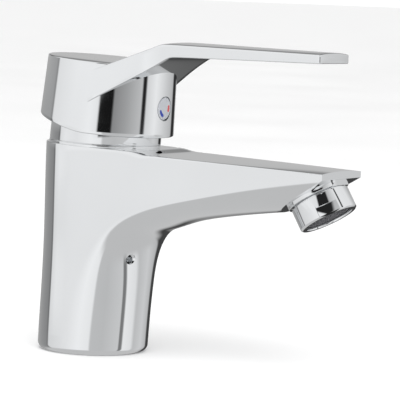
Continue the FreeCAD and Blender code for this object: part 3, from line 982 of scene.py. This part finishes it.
def build_grid():
    """Outlet grid: concentric rings joined by radial ribs."""
    outlet = bpy.context.scene.mixer_outlet
    place = outlet_matrix(outlet.tilt)
    bm = bmesh.new()
    still = Matrix.Identity(4)
    for inner, outer in GRID_RINGS:
        outline = [(inner, GRID_LOW), (outer, GRID_LOW), (outer, GRID_HIGH), (inner, GRID_HIGH)]
        lathe(bm, rounded(outline, 0.12, 2), still, 64)
    back = GRID_LOW + 0.15
    lathe(bm, [(0.02, GRID_LOW), (9.5, GRID_LOW), (9.5, back), (0.02, back)], still, 64)
    grid = link("outlet_grid", bm)
    mod = grid.modifiers.new("ribs", "NODES")
    mod.node_group = grid_tree()
    values = {"Count": outlet.rib_count, "Radius": 0.0054, "Rib length": 0.0076, "Rib width": 0.00032,
              "Rib height": 0.0005, "Rib level": 0.01065, "Finish": FINISH["dark_plastic"]}
    for item in mod.node_group.interface.items_tree:
        if item.in_out == "INPUT" and item.name in values:
            mod[item.identifier] = values[item.name]
    apply_modifier(grid, mod)
    grid.data.transform(place)
    mark_smooth(grid.data, 30)
    finish_piece(grid, FINISH["dark_plastic"], "body", "stream_former")


# Stage ---------------------------------------------------------------------


# The studio's walls at each level: angle from the camera's side in degrees, and brightness
LOW_WALL = ((-180, 0.45), (-114, 0.30), (-108, 0.22), (-105, 0.80), (-60, 0.92), (-30, 1.05), (-8, 0.98),
            (-4, 0.62), (20, 0.60), (56, 0.70), (58, 0.22), (64, 0.25), (67, 0.98), (88, 0.90), (96, 0.62),
            (120, 0.72), (142, 0.55), (148, 0.06), (176, 0.06))
EYE_WALL = ((-180, 0.46), (-114, 0.28), (-108, 0.16), (-105, 0.86), (-90, 0.97), (-60, 0.93), (-30, 1.05),
            (-16, 0.95), (-13, 0.01), (8, 0.01), (11, 0.30), (32, 0.42), (59, 0.62), (62, 0.02), (67, 0.02),
            (70, 0.80), (90, 1.0), (118, 0.72), (142, 0.55), (147, 0.03), (162, 0.03), (168, 0.46))
HIGH_WALL = ((-180, 0.52), (-114, 0.40), (-108, 0.30), (-105, 0.90), (-60, 1.0), (60, 1.0), (118, 0.75),
             (150, 0.55))
TOP_WALL = ((-180, 0.30), (-150, 0.05), (-132, 0.45), (-120, 0.95), (-60, 1.0), (-28, 0.90), (-24, 0.02),
            (12, 0.02), (18, 0.55), (60, 0.95), (63, 0.05), (68, 0.05), (71, 0.95), (120, 0.9), (150, 0.5),
            (160, 0.05))

# Each higher level: the elevations in degrees over which it takes over from the one below
UPPER_WALLS = ((-7.6, -5.4, EYE_WALL), (-1.5, 1.5, HIGH_WALL), (9.0, 13.0, TOP_WALL))

# Ceiling and ground: the sines of the elevations over which each takes over, and its grey
CEILING_AND_GROUND = ((0.86, 0.93, 1.05), (-0.40, -0.62, 0.62))


def fade(tree, value, start, end, interpolation="LINEAR"):
    """How far a value has gone from start to end."""
    node = tree.nodes.new("ShaderNodeMapRange")
    node.interpolation_type = interpolation
    node.inputs["From Min"].default_value = start
    node.inputs["From Max"].default_value = end
    tree.links.new(value, node.inputs["Value"])
    return node.outputs["Result"]


def wall_ramp(tree, share, wall):
    """Colour ramp of one level of the studio's walls."""
    ramp = tree.nodes.new("ShaderNodeValToRGB")
    elements = ramp.color_ramp.elements
    start = wall[0][1]
    elements[1].position = 1.0
    elements[1].color = (start, start, start, 1)
    elements[0].color = (start, start, start, 1)
    for degrees, grey in wall[1:]:
        element = elements.new((degrees + 180) / 360)
        element.color = (grey, grey * 1.004, grey * 1.008, 1)
    tree.links.new(share, ramp.inputs["Fac"])
    return ramp.outputs["Color"]


def blended(tree, share, first, second):
    """One colour fading into a second, which is another colour or a plain grey."""
    mix = tree.nodes.new("ShaderNodeMix")
    mix.data_type = "RGBA"
    low, high = [s for s in mix.inputs if s.type == "RGBA"]
    tree.links.new(share, mix.inputs["Factor"])
    tree.links.new(first, low)
    if isinstance(second, float):
        high.default_value = (second, second, second, 1)
    else:
        tree.links.new(second, high)
    return [s for s in mix.outputs if s.type == "RGBA"][0]


def studio_world(azimuth):
    """White cove with grey walls and dark flags, laid out round the camera's side."""
    world = bpy.data.worlds.new("studio")
    bpy.context.scene.world = world
    world.use_nodes = True
    tree = world.node_tree
    nodes = tree.nodes
    links = tree.links
    nodes.clear()
    coords = nodes.new("ShaderNodeTexCoord")
    turn = nodes.new("ShaderNodeMapping")
    turn.vector_type = "POINT"
    turn.inputs["Rotation"].default_value = (0, 0, -azimuth)
    split = nodes.new("ShaderNodeSeparateXYZ")
    back = nodes.new("ShaderNodeMath")
    back.operation = "MULTIPLY"
    back.inputs[1].default_value = -1.0
    side = nodes.new("ShaderNodeMath")
    side.operation = "ARCTAN2"
    links.new(coords.outputs["Generated"], turn.inputs["Vector"])
    links.new(turn.outputs["Vector"], split.inputs["Vector"])
    links.new(split.outputs["Y"], back.inputs[0])
    links.new(split.outputs["X"], side.inputs[0])
    links.new(back.outputs["Value"], side.inputs[1])
    share = fade(tree, side.outputs["Value"], -math.pi, math.pi)
    height = split.outputs["Z"]
    colour = wall_ramp(tree, share, LOW_WALL)
    for start, end, wall in UPPER_WALLS:
        rise = fade(tree, height, math.sin(math.radians(start)), math.sin(math.radians(end)))
        colour = blended(tree, rise, colour, wall_ramp(tree, share, wall))
    for start, end, grey in CEILING_AND_GROUND:
        colour = blended(tree, fade(tree, height, start, end, "SMOOTHSTEP"), colour, grey)
    room = nodes.new("ShaderNodeBackground")
    plain = nodes.new("ShaderNodeBackground")
    plain.inputs["Color"].default_value = (1, 1, 1, 1)
    plain.inputs["Strength"].default_value = 1.08
    path = nodes.new("ShaderNodeLightPath")
    either = nodes.new("ShaderNodeMath")
    either.operation = "MAXIMUM"
    choose = nodes.new("ShaderNodeMixShader")
    out = nodes.new("ShaderNodeOutputWorld")
    links.new(colour, room.inputs["Color"])
    links.new(path.outputs["Is Camera Ray"], either.inputs[0])
    links.new(path.outputs["Is Diffuse Ray"], either.inputs[1])
    links.new(either.outputs["Value"], choose.inputs["Fac"])
    links.new(room.outputs["Background"], choose.inputs[1])
    links.new(plain.outputs["Background"], choose.inputs[2])
    links.new(choose.outputs["Shader"], out.inputs["Surface"])


def build_floor():
    """Plain pale floor."""
    bm = bmesh.new()
    reach = 80.0
    sides = 96
    ring = []
    for i in range(sides):
        a = 2 * math.pi * i / sides
        ring.append(bm.verts.new((reach * math.cos(a), reach * math.sin(a), -0.00005)))
    bm.faces.new(ring)
    floor = link("floor", bm)
    mat, shader = new_material("pale_floor", (0.96, 0.96, 0.96), 0.0, 0.6)
    vary(shader, object_noise(mat, 3.0), "Roughness", 0.55, 0.7)
    floor.data.materials.append(mat)
    floor.visible_glossy = False


def area_light(name, place, aim, size, power):
    data = bpy.data.lights.new(name, "AREA")
    data.shape = "RECTANGLE"
    data.size = size[0]
    data.size_y = size[1]
    data.energy = power
    light = bpy.data.objects.new(name, data)
    light.location = place
    light.rotation_euler = (Vector(aim) - Vector(place)).to_track_quat("-Z", "Y").to_euler()
    light.visible_glossy = False
    bpy.context.scene.collection.objects.link(light)


def build_camera(stage):
    """Long-lens camera, placed by its angles round the target."""
    a, e, r = stage.azimuth, stage.elevation, stage.roll
    back = Vector((math.sin(a) * math.cos(e), -math.cos(a) * math.cos(e), math.sin(e)))
    right = Vector((math.cos(a), math.sin(a), 0))
    up = back.cross(right)
    across = right * math.cos(r) + up * math.sin(r)
    rise = up * math.cos(r) - right * math.sin(r)
    data = bpy.data.cameras.new("camera")
    data.lens = stage.lens
    data.sensor_width = 36.0
    data.clip_end = 200.0
    camera = bpy.data.objects.new("camera", data)
    turn = Matrix((across, rise, back)).transposed().to_4x4()
    camera.matrix_world = Matrix.Translation(Vector(stage.target) + back * stage.distance) @ turn
    bpy.context.scene.collection.objects.link(camera)
    bpy.context.scene.camera = camera


# Operators -----------------------------------------------------------------

FINISH = {}


class MIXER_OT_finishes(Operator):
    """Make the finishes and give each frame piece its own"""

    bl_idname = "mixer.finishes"
    bl_label = "Finishes"

    def execute(self, context):
        colours = context.scene.mixer_finish
        FINISH["chrome"] = chrome_finish()
        FINISH["button"] = moulded_finish("satin_button", tuple(colours.button), 0.35, 0.05)
        FINISH["cold"] = moulded_finish("cold_print", tuple(colours.cold), 0.4, 0.05)
        FINISH["hot"] = moulded_finish("hot_print", tuple(colours.hot), 0.4, 0.05)
        FINISH["brass"] = metal_finish("turned_brass", (0.75, 0.55, 0.25), 0.28, (1, 1, 14))
        FINISH["steel"] = metal_finish("ground_steel", (0.58, 0.58, 0.60), 0.25, (1, 1, 14))
        FINISH["woven_steel"] = metal_finish("woven_steel", (0.45, 0.45, 0.46), 0.4, (9, 1, 1))
        FINISH["moulding"] = moulded_finish("cartridge_moulding", tuple(colours.moulding), 0.5)
        FINISH["dark_plastic"] = moulded_finish("dark_moulding", (0.09, 0.09, 0.10), 0.4)
        FINISH["red_plastic"] = moulded_finish("stop_moulding", (0.55, 0.05, 0.04), 0.45)
        FINISH["ceramic"] = moulded_finish("lapped_ceramic", (0.88, 0.87, 0.84), 0.22, 0.03)
        FINISH["rubber"] = moulded_finish("seal_rubber", (0.03, 0.03, 0.03), 0.7, 0.25)
        by_slot = {
            "chrome": "chrome", "brass": "brass", "steel": "steel", "screen_steel": "woven_steel",
            "cartridge_plastic": "moulding", "carrier_plastic": "dark_plastic",
            "stop_plastic": "red_plastic", "disc_ceramic": "ceramic", "rubber": "rubber",
            "button_grey": "button", "mark_blue": "cold", "mark_red": "hot",
            "aerator_plastic": "dark_plastic",
        }
        for part in frame["record"]["subparts"]:
            node = frame["nodes"][part["node"]]
            node.data.materials.clear()
            node.data.materials.append(FINISH[by_slot[part["material_slot"]]])
        return {"FINISHED"}


class MIXER_OT_body(Operator):
    """Build the cast body with its spout, foot and outlet boss"""

    bl_idname = "mixer.body"
    bl_label = "Body"

    def execute(self, context):
        build_body()
        return {"FINISHED"}


class MIXER_OT_neck(Operator):
    """Build the band between the body and the lever cap"""

    bl_idname = "mixer.neck"
    bl_label = "Neck band"

    def execute(self, context):
        build_cover_ring()
        return {"FINISHED"}


class MIXER_OT_lever(Operator):
    """Build the lever cap with its riser and blade"""

    bl_idname = "mixer.lever"
    bl_label = "Lever"

    def execute(self, context):
        build_handle()
        return {"FINISHED"}


class MIXER_OT_button(Operator):
    """Build the button and its cold and hot marks"""

    bl_idname = "mixer.button"
    bl_label = "Button"

    def execute(self, context):
        build_button()
        build_mark("cold_arc", 190, 262, "cold", "cold_mark")
        build_mark("hot_arc", -26, 28, "hot", "hot_mark")
        return {"FINISHED"}


class MIXER_OT_outlet(Operator):
    """Build the aerator collar and the outlet grid"""

    bl_idname = "mixer.outlet"
    bl_label = "Outlet"

    def execute(self, context):
        build_collar()
        build_grid()
        return {"FINISHED"}


class MIXER_OT_stage(Operator):
    """Set the floor, the studio light and the camera"""

    bl_idname = "mixer.stage"
    bl_label = "Stage"

    def execute(self, context):
        stage = context.scene.mixer_stage
        studio_world(stage.azimuth)
        build_floor()
        area_light("key", (-0.8, -0.6, 1.4), (0, -0.04, 0.05), (1.2, 1.2), 14.0)
        build_camera(stage)
        context.scene.view_settings.view_transform = "Standard"
        return {"FINISHED"}


class MIXER_PT_panel(Panel):
    """Sidebar panel that lists the mixer's pieces"""

    bl_idname = "MIXER_PT_panel"
    bl_label = "Basin Mixer"
    bl_space_type = "VIEW_3D"
    bl_region_type = "UI"
    bl_category = "Mixer"

    def draw(self, context):
        for operator in OPERATORS:
            self.layout.operator(operator.bl_idname)


SETTINGS = (
    ("mixer_body", MixerBodySizes),
    ("mixer_lever", MixerLeverSizes),
    ("mixer_outlet", MixerOutletSizes),
    ("mixer_finish", MixerFinish),
    ("mixer_stage", MixerStageSettings),
)

OPERATORS = (
    MIXER_OT_finishes,
    MIXER_OT_body,
    MIXER_OT_neck,
    MIXER_OT_lever,
    MIXER_OT_button,
    MIXER_OT_outlet,
    MIXER_OT_stage,
)


def register():
    for name, group in SETTINGS:
        bpy.utils.register_class(group)
        setattr(bpy.types.Scene, name, PointerProperty(type=group))
    for operator in OPERATORS:
        bpy.utils.register_class(operator)
    bpy.utils.register_class(MIXER_PT_panel)


def unregister():
    bpy.utils.unregister_class(MIXER_PT_panel)
    for operator in reversed(OPERATORS):
        bpy.utils.unregister_class(operator)
    for name, group in reversed(SETTINGS):
        delattr(bpy.types.Scene, name)
        bpy.utils.unregister_class(group)


def main():
    register()
    bpy.ops.mixer.finishes()
    bpy.ops.mixer.body()
    bpy.ops.mixer.neck()
    bpy.ops.mixer.lever()
    bpy.ops.mixer.button()
    bpy.ops.mixer.outlet()
    bpy.ops.mixer.stage()


if __name__ == "__main__":
    main()
